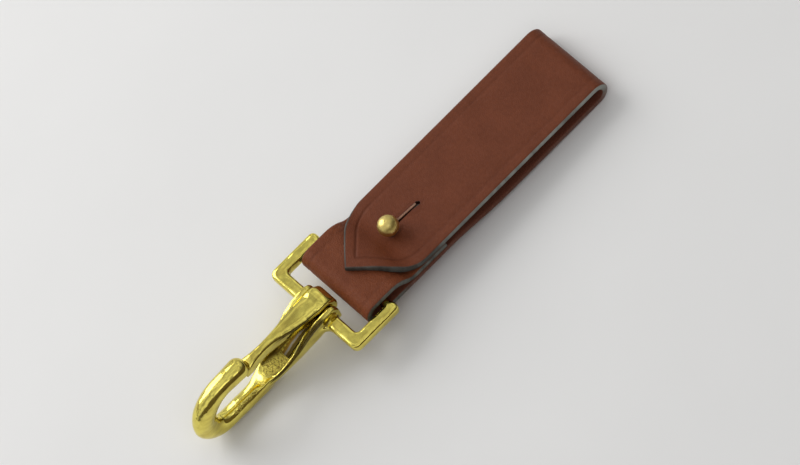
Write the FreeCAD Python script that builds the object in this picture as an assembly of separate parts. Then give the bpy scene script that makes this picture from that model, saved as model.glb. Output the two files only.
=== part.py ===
import FreeCAD, Part
import math
import os

from FreeCAD import Vector

# Belt key clip: a folded leather strap with a buttoned belt loop and a cast brass trigger snap.
# Millimetres. X runs across the strap, +Y from the hook to the belt fold, +Z out of the front.
# Sizes along Y are counted from the stud, and heights from the back of the strap. The finished
# pieces are then moved so that the origin lies under the middle of the part, at its lowest point.

# Leather strip
strap_width = 30.0
leather_thickness = 2.2
layer_gap = 0.1

# Belt loop
return_end = 8.5
loop_ramp_run = 26.0
loop_length = 38.7
belt_gap = 4.6

# Fold round the bar of the eye
bar_distance = 17.5
bar_diameter = 3.6
bar_clearance = 0.3
wrap_slack = 3.2
wrap_hold = 3.4
wrap_ramp_run = 9.8

# Flap with its point and buttonhole
flap_tip = 18.6
flap_ramp_run = 12.5
flap_point_length = 13.2
flap_shoulder_radius = 16.0
flap_tip_radius = 0.8
slit_end = 12.0
slit_width = 0.6
slit_end_hole = 1.4
neck_clearance = 0.3

# Ball stud and its screw
ball_diameter = 6.8
ball_stand = 3.7
neck_diameter = 3.4
flange_diameter = 8.0
flange_thickness = 1.0
post_diameter = 4.6
screw_head_diameter = 8.0
screw_head_thickness = 1.2
screw_diameter = 2.8
screw_length = 4.0
driver_slot_width = 0.9
driver_slot_depth = 0.6
fit_clearance = 0.05

# Square eye of the snap
eye_side_clearance = 0.6
eye_arm_width = 4.1
eye_thickness = 3.6
eye_reach = 12.5
near_bar_width = 4.5
arm_overhang = 2.1
eye_corner_radius = 2.4
arm_end_radius = 1.6
eye_window_radius = 1.0
eye_edge_rounding = 1.1

# Hook: the spine, the bend and the arm with its rounded tip
spine_drop = 8.6
hook_rise = 9.4
spine_depth = 6.2
spine_width = 6.0
spine_tail_run = 12.0
spine_tail_rise = 2.1
bend_depth = 8.3
bend_width = 6.1
arm_depth = 6.0
arm_width = 5.8
tip_diameter = 6.3
hook_reach = 67.4
small_bend_radius = 6.8
tip_reach = 42.4
bend_steps = 12

# Channel with two cheeks that carry the gate
pivot_reach = 13.8
pivot_rise = 1.9
pin_diameter = 2.4
pin_clearance = 0.05
ear_radius = 3.0
cheek_thickness = 2.1
rim_flat = 1.5
rim_end_reach = 39.0
channel_end = 40.0
channel_end_width = 6.4
channel_floor_rise = 2.0
channel_floor_climb = 3.1
channel_ramp_run = 9.0
rim_end_rise = 4.0
channel_nose = 6.0
nose_sink = 0.5
body_drop = 1.2
body_depth = 5.1
body_waist_reach = 28.1
body_waist_width = 11.2
body_waist_rise = 5.2
body_waist_depth = 5.0
heel_radius = 2.6
gusset_radius = 2.6

# Gate lever and its leaf spring
knuckle_radius = 4.6
knuckle_width = 8.1
knuckle_side_clearance = 0.3
knuckle_rounding = 1.0
lever_end_gap = 0.2
lever_back_reach = 2.6
lever_back_width = 7.2
lever_back_rise = 6.2
lever_head_reach = 18.2
lever_head_width = 7.5
lever_head_thickness = 4.2
lever_head_rise = 6.8
lever_end_width = 4.6
lever_end_thickness = 3.8
lever_end_rise = 8.6
lever_waist_reach = 26.0
lever_waist_width = 5.3
lever_waist_thickness = 4.2
lever_waist_rise = 7.8
lever_bevel_drop = 0.7
lever_bevel_share = 0.24
tongue_length = 2.8
spring_width = 2.8
spring_thickness = 0.45
spring_gap = 0.15
spring_foot_reach = 31.0
spring_bow = 1.6

overrun = 5.0

# Places that follow from the sizes above
half_width = strap_width / 2
wrap_inner_radius = bar_diameter / 2 + bar_clearance
wrap_outer_radius = wrap_inner_radius + leather_thickness
bar_y = -bar_distance
bar_z = leather_thickness + wrap_inner_radius
wrap_y = bar_y - wrap_slack
wrap_hold_y = bar_y + wrap_hold
wrap_flat_y = wrap_hold_y + wrap_ramp_run

return_z = leather_thickness + layer_gap
flap_z = return_z + leather_thickness + layer_gap
flap_top_z = flap_z + leather_thickness
loop_y = return_end + loop_ramp_run
fold_y = loop_y + loop_length
loop_back_z = flap_z - belt_gap - leather_thickness
fold_inner_radius = belt_gap / 2
fold_outer_radius = fold_inner_radius + leather_thickness
fold_z = flap_z - fold_inner_radius
ball_z = flap_top_z + ball_stand

spine_z = bar_z - spine_drop
arm_z = bar_z + hook_rise
hook_bottom_z = spine_z - spine_depth / 2
near_bar_y = bar_y - eye_reach
bend_y = bar_y - hook_reach + bend_depth / 2
pin_y = bar_y - pivot_reach
pin_z = bar_z + pivot_rise
tip_y = bar_y - tip_reach - tip_diameter / 2
channel_end_y = bar_y - channel_end
channel_floor_z = spine_z + channel_floor_rise
pin_floor_z = channel_floor_z + channel_floor_climb
channel_half = knuckle_width / 2 + knuckle_side_clearance
cheek_half = channel_half + cheek_thickness

rest_lift = -hook_bottom_z
part_middle_y = (fold_y + fold_outer_radius + bar_y - hook_reach) / 2


def at(y, z):
    """A point of the side view, on the middle plane of the strap."""
    return Vector(0, y, z)


def line(start, end):
    return Part.LineSegment(start, end).toShape()


def s_curve(start, end):
    """Two equal tangent arcs in the side view that leave and arrive level."""
    run = end.y - start.y
    rise = end.z - start.z
    radius = (run * run + rise * rise) / (4 * abs(rise))
    half_turn = math.atan(abs(rise) / abs(run))
    step_y = math.copysign(radius * math.sin(half_turn), run)
    step_z = math.copysign(radius * (1 - math.cos(half_turn)), rise)
    middle = (start + end) * 0.5
    first = Part.Arc(start, start + at(step_y, step_z), middle).toShape()
    second = Part.Arc(middle, end - at(step_y, step_z), end).toShape()
    return [first, second]


def s_ribbon(start, end):
    """A strip of leather over an S-shaped step, with its underside on the line of the step."""
    run = end.y - start.y
    rise = end.z - start.z
    radius = (run * run + rise * rise) / (4 * abs(rise))
    turn = 2 * math.atan(abs(rise) / run)
    side = math.copysign(1, rise)

    def edges(offset):
        first_radius = radius - side * offset
        second_radius = radius + side * offset
        first_centre = start + at(0, side * radius)
        second_centre = end - at(0, side * radius)
        points = []
        for share in (0, 0.5, 1):
            angle = share * turn
            points.append(first_centre + at(first_radius * math.sin(angle),
                                            -side * first_radius * math.cos(angle)))
        for share in (0.5, 0):
            angle = share * turn
            points.append(second_centre + at(-second_radius * math.sin(angle),
                                             side * second_radius * math.cos(angle)))
        return points

    lower = edges(0)
    upper = edges(leather_thickness)
    wire = Part.Wire([
        Part.Arc(lower[0], lower[1], lower[2]).toShape(),
        Part.Arc(lower[2], lower[3], lower[4]).toShape(),
        line(lower[4], upper[4]),
        Part.Arc(upper[4], upper[3], upper[2]).toShape(),
        Part.Arc(upper[2], upper[1], upper[0]).toShape(),
        line(upper[0], lower[0]),
    ])
    return across(Part.Face(wire), strap_width)


def across(face, width):
    """Extrude a side view to both sides of the middle plane."""
    face.translate(Vector(-width / 2, 0, 0))
    return face.extrude(Vector(width, 0, 0))


def slab(y_from, y_to, z_from, z_to, width):
    return Part.makeBox(width, y_to - y_from, z_to - z_from, Vector(-width / 2, y_from, z_from))


def half_ring(y, z, inner, outer, side):
    """Half a ring of leather in the side view, open towards the strap. side is -1 or 1 along Y."""
    wire = Part.Wire([
        Part.Arc(at(y, z + outer), at(y + side * outer, z), at(y, z - outer)).toShape(),
        line(at(y, z - outer), at(y, z - inner)),
        Part.Arc(at(y, z - inner), at(y + side * inner, z), at(y, z + inner)).toShape(),
        line(at(y, z + inner), at(y, z + outer)),
    ])
    return across(Part.Face(wire), strap_width)


def upright(radius, z_from, z_to):
    """A round of the stud's axis."""
    return Part.makeCylinder(radius, z_to - z_from, Vector(0, 0, z_from))


def crosswise(radius, length, y, z):
    """A round bar along X, centred on the middle plane."""
    return Part.makeCylinder(radius, length, Vector(-length / 2, y, z), Vector(1, 0, 0))


def upright_edges(shape, y_from, y_to):
    """The edges along Z whose middle lies between two places along the strap."""
    found = []
    for edge in shape.Edges:
        stands = abs(edge.tangentAt(edge.FirstParameter).z) > 0.5
        if stands and y_from < edge.CenterOfMass.y < y_to:
            found.append(edge)
    return found


def strap_body():
    """Back layer, fold round the bar and return layer: one strip, with the stud's holes."""
    hump_z = bar_z + wrap_inner_radius
    back = slab(wrap_y, return_end, 0, leather_thickness, strap_width)
    back = back.fuse(s_ribbon(at(return_end, 0), at(loop_y, loop_back_z)))
    loop_top_z = loop_back_z + leather_thickness
    back = back.fuse(slab(loop_y, fold_y, loop_back_z, loop_top_z, strap_width))
    wrap = half_ring(wrap_y, bar_z, wrap_inner_radius, wrap_outer_radius, -1)
    top = slab(wrap_y, wrap_hold_y, hump_z, hump_z + leather_thickness, strap_width)
    top = top.fuse(s_ribbon(at(wrap_hold_y, hump_z), at(wrap_flat_y, return_z)))
    top = top.fuse(slab(wrap_flat_y, return_end, return_z, return_z + leather_thickness, strap_width))
    strip = back.fuse(wrap).fuse(top).removeSplitter()
    flange_seat_z = return_z + leather_thickness - flange_thickness
    strip = strip.cut(upright(post_diameter / 2 + fit_clearance, -overrun, flap_z))
    strip = strip.cut(upright(flange_diameter / 2 + fit_clearance, flange_seat_z, flap_z))
    return strip.cut(upright(screw_head_diameter / 2 + fit_clearance, -overrun, screw_head_thickness))


def belt_fold():
    """The bend of the strip over the top edge of the belt."""
    return half_ring(fold_y, fold_z, fold_inner_radius, fold_outer_radius, 1)


def flap_outline():
    """Plan of the flap, as a tall block: straight sides, wide round shoulders and a blunt point."""
    shoulder_y = -flap_tip + flap_point_length
    plan = Part.makePolygon([
        Vector(0, -flap_tip, 0),
        Vector(half_width, shoulder_y, 0),
        Vector(half_width, fold_y, 0),
        Vector(-half_width, fold_y, 0),
        Vector(-half_width, shoulder_y, 0),
        Vector(0, -flap_tip, 0),
    ])
    block = Part.Face(plan).extrude(Vector(0, 0, ball_z + ball_diameter))
    block = block.makeFillet(flap_shoulder_radius, upright_edges(block, shoulder_y - flap_tip_radius, 0))
    point = upright_edges(block, -flap_tip - overrun, -flap_tip + flap_tip_radius)
    return block.makeFillet(flap_tip_radius, point)


def flap():
    """Front of the strip, from the belt fold down over the stud to the point."""
    hump_z = bar_z + wrap_inner_radius + leather_thickness + layer_gap
    ramp_y = wrap_hold_y + flap_ramp_run
    front = slab(-flap_tip - overrun, wrap_hold_y, hump_z, hump_z + leather_thickness, strap_width)
    front = front.fuse(s_ribbon(at(wrap_hold_y, hump_z), at(ramp_y, flap_z)))
    front = front.fuse(slab(ramp_y, fold_y, flap_z, flap_top_z, strap_width))
    front = front.removeSplitter().common(flap_outline())
    hole = upright(neck_diameter / 2 + neck_clearance, 0, ball_z)
    slit = slab(0, slit_end, 0, ball_z, slit_width)
    end_hole = Part.makeCylinder(slit_end_hole / 2, ball_z, Vector(0, slit_end, 0))
    return front.cut(hole.fuse(slit).fuse(end_hole))


def stud():
    """Turned ball stud: ball, neck, flange and a tapped post through the leather."""
    flange_top_z = return_z + leather_thickness
    flange_z = flange_top_z - flange_thickness
    body = Part.makeSphere(ball_diameter / 2, Vector(0, 0, ball_z))
    body = body.fuse(upright(neck_diameter / 2, flange_z, ball_z))
    body = body.fuse(upright(flange_diameter / 2, flange_z, flange_top_z))
    body = body.fuse(upright(post_diameter / 2, screw_head_thickness, flange_top_z))
    tapping_top_z = screw_head_thickness + screw_length
    return body.cut(upright(screw_diameter / 2 + fit_clearance, 0, tapping_top_z)).removeSplitter()


def stud_screw():
    """Flat-headed screw that pulls the stud down on the leather from behind."""
    screw = upright(screw_head_diameter / 2, 0, screw_head_thickness)
    screw = screw.fuse(upright(screw_diameter / 2, 0, screw_head_thickness + screw_length - fit_clearance))
    groove = slab(-screw_head_diameter, screw_head_diameter, -overrun, driver_slot_depth, driver_slot_width)
    return screw.cut(groove).removeSplitter()


def eye():
    """Square eye: two arms, a near bar and the round bar that the leather turns on."""
    inner_half = half_width + eye_side_clearance
    outer_half = inner_half + eye_arm_width
    outer_y = near_bar_y - near_bar_width
    far_y = bar_y + arm_overhang
    low_z = bar_z - eye_thickness / 2
    high_z = bar_z + eye_thickness / 2
    plate = slab(outer_y, far_y, low_z, high_z, 2 * outer_half)
    plate = plate.makeFillet(eye_corner_radius, upright_edges(plate, outer_y - overrun, near_bar_y))
    window = slab(near_bar_y, far_y + overrun, low_z - overrun, high_z + overrun, 2 * inner_half)
    window = window.makeFillet(eye_window_radius, upright_edges(window, near_bar_y - overrun, bar_y))
    frame = plate.cut(window)
    frame = frame.makeFillet(arm_end_radius, upright_edges(frame, bar_y, far_y + overrun))
    long_edges = []
    for edge in frame.Edges:
        if abs(edge.tangentAt(edge.FirstParameter).z) < 0.5:
            long_edges.append(edge)
    frame = frame.makeFillet(eye_edge_rounding, long_edges)
    return frame.fuse(crosswise(bar_diameter / 2, 2 * inner_half + eye_arm_width, bar_y, bar_z))


def oval(centre, inward, depth, width):
    """An oval section of the hook, depth in the hook's plane and width across it."""
    across_hook = Vector(1, 0, 0)
    curve = Part.Ellipse(centre + inward * (depth / 2), centre + across_hook * (width / 2), centre)
    return Part.Wire(curve.toShape())


def hook():
    """Spine with a tail that runs out under the channel, thicker bend, and arm with a thumb-like tip."""
    big_bend_radius = spine_drop + hook_rise - small_bend_radius
    bend_z = spine_z + small_bend_radius
    small_y = bend_y + small_bend_radius
    big_y = bend_y + big_bend_radius
    spine_bend = []
    for step in range(bend_steps + 1):
        angle = step / bend_steps * math.pi / 2
        share = math.sin(angle) ** 2
        inward = at(math.sin(angle), math.cos(angle))
        centre = at(small_y, bend_z) - inward * small_bend_radius
        depth = spine_depth + (bend_depth - spine_depth) * share
        width = spine_width + (bend_width - spine_width) * share
        spine_bend.append(oval(centre, inward, depth, width))
    arm_bend = []
    for step in range(bend_steps + 1):
        angle = step / bend_steps * math.pi / 2
        share = math.sin(angle) ** 2
        inward = at(math.cos(angle), -math.sin(angle))
        centre = at(big_y, bend_z) - inward * big_bend_radius
        depth = bend_depth + (arm_depth - bend_depth) * share
        width = bend_width + (arm_width - bend_width) * share
        arm_bend.append(oval(centre, inward, depth, width))
    tail_centre = at(channel_end_y + spine_tail_run, spine_z + spine_tail_rise)
    tail = oval(tail_centre, at(0, 1), spine_depth / 2, spine_width / 2)
    spine_start = oval(at(channel_end_y, spine_z), at(0, 1), spine_depth, spine_width)
    arm_end = oval(at(tip_y, arm_z), at(0, -1), tip_diameter - fit_clearance, tip_diameter - fit_clearance)
    bar = Part.makeLoft([tail, spine_start] + spine_bend + arm_bend[1:] + [arm_end], True, True)
    return bar.fuse(Part.makeSphere(tip_diameter / 2, at(tip_y, arm_z)))


def rim_profile():
    """Side view that trims the channel's body: round ears and heel at the pivot and an S-shaped rim."""
    low_z = hook_bottom_z - overrun
    heel_y = pin_y + ear_radius - heel_radius
    heel_z = bar_z - body_drop - body_depth
    heel_turn = heel_radius * math.sin(math.pi / 4)
    heel_low = at(heel_y, heel_z)
    heel_round = at(heel_y + heel_turn, heel_z + heel_radius - heel_turn)
    heel_back = at(heel_y + heel_radius, heel_z + heel_radius)
    ear_front = at(pin_y + ear_radius, pin_z)
    ear_shoulder = at(pin_y + ear_radius * math.sin(math.pi / 4), pin_z + ear_radius * math.sin(math.pi / 4))
    ear_top = at(pin_y, pin_z + ear_radius)
    rim_start = at(pin_y - rim_flat, pin_z + ear_radius)
    rim_low = at(bar_y - rim_end_reach, spine_z + rim_end_rise)
    rim_end = at(channel_end_y, spine_z + rim_end_rise)
    nose = at(channel_end_y - channel_nose, spine_z + spine_depth / 4)
    nose_low = at(channel_end_y - channel_nose, low_z)
    under_heel = at(heel_y, low_z)
    edges = [Part.Arc(ear_front, ear_shoulder, ear_top).toShape(), line(ear_top, rim_start)]
    edges += s_curve(rim_start, rim_low)
    edges += [line(rim_low, rim_end), line(rim_end, nose), line(nose, nose_low)]
    edges += [line(nose_low, under_heel), line(under_heel, heel_low)]
    edges += [Part.Arc(heel_low, heel_round, heel_back).toShape(), line(heel_back, ear_front)]
    return Part.Face(Part.Wire(edges))


def body_section(y, half, z_middle, depth):
    """A section of the channel's body: upright sides over a round underside."""
    left = Vector(-half, y, z_middle)
    right = Vector(half, y, z_middle)
    top_left = Vector(-half, y, arm_z)
    top_right = Vector(half, y, arm_z)
    return Part.Wire([
        Part.Arc(left, Vector(0, y, z_middle - depth), right).toShape(),
        line(right, top_right),
        line(top_right, top_left),
        line(top_left, left),
    ])


def channel_body():
    """The body under the gate: wide at the pivot, rising to the eye and tapered into the spine."""
    wide_z = bar_z - body_drop
    nose_y = channel_end_y - channel_nose
    waist_y = bar_y - body_waist_reach
    body = Part.makeLoft([
        body_section(nose_y, spine_width / 2 - nose_sink, spine_z, spine_depth / 2 - nose_sink),
        body_section(waist_y, body_waist_width / 2, spine_z + body_waist_rise, body_waist_depth),
        body_section(pin_y - ear_radius, cheek_half, wide_z, body_depth),
        body_section(pin_y + ear_radius, cheek_half, wide_z, body_depth),
    ], True, True)
    return body.common(across(rim_profile(), 4 * cheek_half))


def gusset(x_side, y, y_side):
    """A hollow corner between a cheek and the near bar of the eye."""
    height = eye_thickness - eye_edge_rounding
    sunk = cheek_thickness / 2
    corner = Vector(min(-x_side * sunk, x_side * gusset_radius), min(0, y_side * gusset_radius), -height / 2)
    block = Part.makeBox(sunk + gusset_radius, gusset_radius, height, corner)
    hollow = Part.makeCylinder(gusset_radius, height,
                               Vector(x_side * gusset_radius, y_side * gusset_radius, -height / 2))
    piece = block.cut(hollow)
    piece.translate(Vector(x_side * cheek_half, y, bar_z))
    return piece


def taper_plan(half_wide, half_narrow, y_end):
    """Plan of the channel, which narrows from the pivot to a round end, as a tall block."""
    y_wide = pin_y - ear_radius
    y_top = near_bar_y + overrun
    z_low = hook_bottom_z - overrun
    points = [
        Vector(half_wide, y_top, z_low),
        Vector(half_wide, y_wide, z_low),
        Vector(half_narrow, y_end, z_low),
        Vector(-half_narrow, y_end, z_low),
        Vector(-half_wide, y_wide, z_low),
        Vector(-half_wide, y_top, z_low),
    ]
    wire = Part.Wire([
        line(points[0], points[1]),
        line(points[1], points[2]),
        Part.Arc(points[2], Vector(0, y_end - half_narrow, z_low), points[3]).toShape(),
        line(points[3], points[4]),
        line(points[4], points[5]),
        line(points[5], points[0]),
    ])
    return Part.Face(wire).extrude(Vector(0, 0, arm_z - z_low))


def channel_room():
    """Side view of the room in the channel, over a floor that climbs to the pivot."""
    low = at(channel_end_y, spine_z + rim_end_rise)
    foot = at(channel_end_y + channel_ramp_run, channel_floor_z)
    back = at(pin_y, pin_floor_z)
    back_top = at(pin_y, arm_z)
    low_top = at(channel_end_y, arm_z)
    wire = Part.Wire([line(low, foot), line(foot, back), line(back, back_top), line(back_top, low_top),
                      line(low_top, low)])
    return across(Part.Face(wire), 2 * cheek_half)


def hook_body():
    """The one brass casting: square eye, channel with cheeks, spine, bend and tip."""
    casting = channel_body().fuse(eye()).fuse(hook())
    for side in (-1, 1):
        casting = casting.fuse(gusset(side, near_bar_y - near_bar_width, -1))
    channel = taper_plan(channel_half, channel_end_width / 2, channel_end_y + channel_end_width / 2)
    casting = casting.cut(channel.common(channel_room()))
    knuckle_room = crosswise(knuckle_radius + knuckle_side_clearance, 2 * channel_half, pin_y, pin_z)
    casting = casting.cut(knuckle_room)
    pin_hole = crosswise(pin_diameter / 2 + fit_clearance / 2, 2 * cheek_half, pin_y, pin_z)
    return casting.cut(pin_hole).removeSplitter()


def lever_section(y, width, z_low, z_high):
    """A gate section with a flat underside and a flat top between two ground bevels."""
    half = width / 2
    bevel = width * lever_bevel_share
    corners = [
        Vector(-half, y, z_low),
        Vector(half, y, z_low),
        Vector(half, y, z_high - lever_bevel_drop),
        Vector(half - bevel, y, z_high),
        Vector(bevel - half, y, z_high),
        Vector(-half, y, z_high - lever_bevel_drop),
    ]
    return Part.makePolygon(corners + corners[:1])


def gate_lever():
    """Gate with a barrel knuckle, a bevelled arm and a hollowed end that seats on the hook's tip."""
    barrel = crosswise(knuckle_radius, knuckle_width, pin_y, pin_z)
    rims = [edge for edge in barrel.Edges if edge.Closed and abs(edge.CenterOfMass.x) > knuckle_width / 4]
    barrel = barrel.makeFillet(knuckle_rounding, rims)
    end_y = tip_y + tip_diameter / 2 + lever_end_gap
    end_z = bar_z + lever_end_rise
    head_y = bar_y - lever_head_reach
    head_z = bar_z + lever_head_rise
    waist_y = bar_y - lever_waist_reach
    waist_z = bar_z + lever_waist_rise
    arm = Part.makeLoft([
        lever_section(pin_y + lever_back_reach, lever_back_width, pin_z, bar_z + lever_back_rise),
        lever_section(head_y, lever_head_width, head_z - lever_head_thickness, head_z),
        lever_section(waist_y, lever_waist_width, waist_z - lever_waist_thickness, waist_z),
        lever_section(end_y, lever_end_width, end_z - lever_end_thickness, end_z),
    ], True, False)
    end_face = Part.Face(lever_section(end_y, lever_end_width, end_z - lever_end_thickness, end_z))
    tongue = end_face.extrude(at(-tongue_length, 0))
    seat = Part.makeSphere(tip_diameter / 2 + lever_end_gap, at(tip_y, arm_z))
    lever = barrel.fuse(arm).fuse(tongue).cut(seat)
    bore = crosswise(pin_diameter / 2 + pin_clearance, 2 * knuckle_width, pin_y, pin_z)
    return lever.cut(bore).removeSplitter()


def gate_pin():
    return crosswise(pin_diameter / 2, 2 * cheek_half, pin_y, pin_z)


def gate_spring():
    """Bowed leaf spring: its foot stands on the channel floor, its head lies under the knuckle."""
    foot_y = bar_y - spring_foot_reach
    ramp_y = channel_end_y + channel_ramp_run
    foot_share = (foot_y - ramp_y) / (pin_y - ramp_y)
    foot = at(foot_y, channel_floor_z + channel_floor_climb * foot_share + spring_gap)
    head = at(pin_y - spring_gap, pin_z - knuckle_radius - spring_gap - spring_thickness)
    chord = head - foot
    normal = at(-chord.z, chord.y) * (1 / chord.Length)
    middle = (foot + head) * 0.5 + normal * spring_bow
    rise = at(0, spring_thickness)
    wire = Part.Wire([
        Part.Arc(foot, middle, head).toShape(),
        line(head, head + rise),
        Part.Arc(head + rise, middle + rise, foot + rise).toShape(),
        line(foot + rise, foot),
    ])
    return across(Part.Face(wire), spring_width)


PIECES = {
    "strap_body": strap_body,
    "belt_fold": belt_fold,
    "flap": flap,
    "stud": stud,
    "stud_screw": stud_screw,
    "hook_body": hook_body,
    "gate_lever": gate_lever,
    "gate_pin": gate_pin,
    "gate_spring": gate_spring,
}

os.makedirs("parts", exist_ok=True)
for name, make in PIECES.items():
    piece = make()
    piece.translate(Vector(0, -part_middle_y, rest_lift))
    piece.exportStep(f"parts/{name}.step")
    box = piece.optimalBoundingBox()
    print(name, "solids", len(piece.Solids), "valid", piece.isValid(), "volume", round(piece.Volume, 1),
          "x", round(box.XMin, 2), round(box.XMax, 2), "y", round(box.YMin, 2), round(box.YMax, 2),
          "z", round(box.ZMin, 2), round(box.ZMax, 2))
print("stud at y", round(-part_middle_y, 3), "strap back at z", round(rest_lift, 3))
print("bar axis y", round(bar_y - part_middle_y, 3), "z", round(bar_z + rest_lift, 3))
print("pin axis y", round(pin_y - part_middle_y, 3), "z", round(pin_z + rest_lift, 3))
print("belt fold axis y", round(fold_y - part_middle_y, 3), "z", round(fold_z + rest_lift, 3))
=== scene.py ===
# %% [markdown]
# # Belt key clip
# A strip of leather is folded over a belt, buttons on a brass ball stud and carries a cast brass trigger
# snap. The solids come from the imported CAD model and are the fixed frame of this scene. Every piece made
# here is in the same frame, in metres, and replaces the solid that it stands for.

# %% Load the solids
import math

import bmesh
import bpy
from mathutils import Matrix, Vector


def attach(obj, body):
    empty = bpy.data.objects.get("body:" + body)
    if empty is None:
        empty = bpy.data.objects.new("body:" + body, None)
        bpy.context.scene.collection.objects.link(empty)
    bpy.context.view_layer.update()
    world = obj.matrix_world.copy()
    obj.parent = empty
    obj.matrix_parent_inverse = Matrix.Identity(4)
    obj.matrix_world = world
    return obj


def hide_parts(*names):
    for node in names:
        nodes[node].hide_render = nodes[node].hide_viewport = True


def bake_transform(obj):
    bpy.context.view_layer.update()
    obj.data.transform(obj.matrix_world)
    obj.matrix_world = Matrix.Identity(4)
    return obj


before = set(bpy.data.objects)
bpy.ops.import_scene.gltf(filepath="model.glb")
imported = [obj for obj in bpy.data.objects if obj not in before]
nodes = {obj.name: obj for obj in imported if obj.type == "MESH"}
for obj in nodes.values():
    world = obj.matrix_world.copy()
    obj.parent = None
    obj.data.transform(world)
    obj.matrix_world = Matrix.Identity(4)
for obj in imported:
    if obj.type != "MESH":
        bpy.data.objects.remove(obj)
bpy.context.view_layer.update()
MM = 0.001
print("solids:", sorted(nodes))

# %% [markdown]
# ## Camera
# The photograph looks down on the clip from the side, with the strap running up to the right. Three unit
# vectors hold that view: right and up in the picture, and back towards the lens. They were fitted to
# fifteen points of the photograph. The picture has almost no perspective, so a long lens stands far away.

# %% Camera
IMAGE_WIDTH = 800
PIXELS_PER_MM = 3.3157
FITTED_RIGHT, FITTED_UP = Vector((0.67278, 0.70039, -0.23837)), Vector((-0.58039, 0.69945, 0.41703))
FITTED_POINT = Vector((0, 0, 12))
SHIFT_RIGHT, SHIFT_UP = 4.72, 2.952
view_right = FITTED_RIGHT.normalized()
view_back = view_right.cross(FITTED_UP).normalized()
view_up = view_back.cross(view_right)
picture_middle = (FITTED_POINT + view_right * SHIFT_RIGHT + view_up * SHIFT_UP) * MM
lens = bpy.data.cameras.new("long_lens")
lens.lens = 300
lens.sensor_width = 36
lens.clip_end = 20
field_width = IMAGE_WIDTH / PIXELS_PER_MM * MM
distance = field_width * lens.lens / lens.sensor_width
camera = bpy.data.objects.new("camera", lens)
camera.matrix_world = Matrix.Translation(picture_middle + view_back * distance) @ Matrix(
    (view_right, view_up, view_back)).transposed().to_4x4()
bpy.context.scene.collection.objects.link(camera)
bpy.context.scene.camera = camera
print("camera stands", round(distance, 2), "m away")

# %% [markdown]
# ## The route of the leather
# The real strip is cut flat and then folded, so it is made the same way here. Its route in the side view is
# a list of straight runs and bends for the middle of its thickness, from the flap's tip over the belt fold,
# down the back, round the bar of the eye and back up under the flap. Bending a flat cut keeps the leather's
# length true, which modelling each layer by itself would not.

# %% Route
THICK = 2.2
HALF_THICK = THICK / 2
RAMP_RUN, RAMP_RISE = 9.8, 4.1
FLAP_RAMP_RUN = 12.5
BACK_STEP_RUN, BACK_STEP_RISE = 26, 2.2
TIP_RUN, FLAP_RUN, BELT_BEND = 4.5, 74.8, 3.4
BACK_RUN, LOWER_RUN = 38.7, 29.2
BAR_BEND, RETURN_RUN, RETURN_END = 3.2, 6.6, 12.8


def step_bends(run, rise, lift):
    """Two equal bends that step the strip sideways, for a line that lies lift above the step's own line."""
    radius = (run ** 2 + rise ** 2) / (4 * rise)
    turn = 2 * math.atan(rise / run)
    return [("bend", radius + lift, -turn), ("bend", radius - lift, turn)]


flap_route = [("run", TIP_RUN), *step_bends(FLAP_RAMP_RUN, RAMP_RISE, HALF_THICK), ("run", FLAP_RUN),
              ("bend", BELT_BEND, -math.pi)]
back_route = [("run", BACK_RUN), *step_bends(BACK_STEP_RUN, BACK_STEP_RISE, -HALF_THICK), ("run", LOWER_RUN)]
wrap_route = [("bend", BAR_BEND, -math.pi), ("run", RETURN_RUN), *step_bends(RAMP_RUN, RAMP_RISE, HALF_THICK),
              ("run", RETURN_END)]
route = flap_route + back_route + wrap_route
print("route:", len(route), "runs and bends")

# %% Walk along the route
TIP_PLACE = (-15.0, 17.2)
DOWN_THE_BACK = 12


def length_of(moves):
    return sum(move[1] if move[0] == "run" else move[1] * abs(move[2]) for move in moves)


def walk(distance_along):
    """The place (y, z) and heading after that many millimetres of the route."""
    (y, z), heading, left = TIP_PLACE, 0.0, distance_along
    for move in route:
        part = min(left, length_of([move]))
        if move[0] == "run":
            y += part * math.cos(heading)
            z += part * math.sin(heading)
        else:
            side = math.copysign(1, move[2])
            centre_y = y - side * move[1] * math.sin(heading)
            centre_z = z + side * move[1] * math.cos(heading)
            heading += side * part / move[1]
            y = centre_y + side * move[1] * math.sin(heading)
            z = centre_z - side * move[1] * math.cos(heading)
        left -= part
        if left <= 0:
            break
    return y, z, heading


strip_length = length_of(route)
fold_end = length_of(flap_route)
split = fold_end + DOWN_THE_BACK
print("strip", round(strip_length, 1), "mm long, ends at", [round(v, 2) for v in walk(strip_length)[:2]])

# %% [markdown]
# ## Cutting the strip
# A flat face with the outline of the cut is inset ring by ring. The outer rings become the rounded,
# burnished edge, and the rings about 3.6 mm in become the pressed crease line. Cross cuts then let the strip
# bend, the face is extruded to the leather's thickness, and each vertex is moved to its place on the route.
# The flat position, the distance to the edge and the side of the hide are kept as attributes for the
# leather's finish.

# %% Outline of the cut
def flat_cut(corners, round_corners=(), round_by=0):
    """A bmesh with one flat face, whose named corners are rounded. Returns it with its outline."""
    bm = bmesh.new()
    verts = [bm.verts.new((x, s, 0)) for x, s in corners]
    bm.faces.new(verts)
    if round_corners:
        bmesh.ops.bevel(bm, geom=[verts[i] for i in round_corners], offset=round_by, offset_type="OFFSET",
                        segments=14, profile=0.5, affect="VERTICES", material=-1)
    face = max(bm.faces, key=lambda f: f.calc_area())
    return bm, [(v.co.x, v.co.y) for v in face.verts]


def distance_to(outline, x, s):
    """Shortest distance in the flat from a point to the outline."""
    best = 1e9
    for (ax, ay), (bx, by) in zip(outline, outline[1:] + outline[:1]):
        dx, dy = bx - ax, by - ay
        t = max(0, min(1, ((x - ax) * dx + (s - ay) * dy) / (dx * dx + dy * dy)))
        best = min(best, math.hypot(x - ax - t * dx, s - ay - t * dy))
    return best


print("outline helpers ready")

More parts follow.
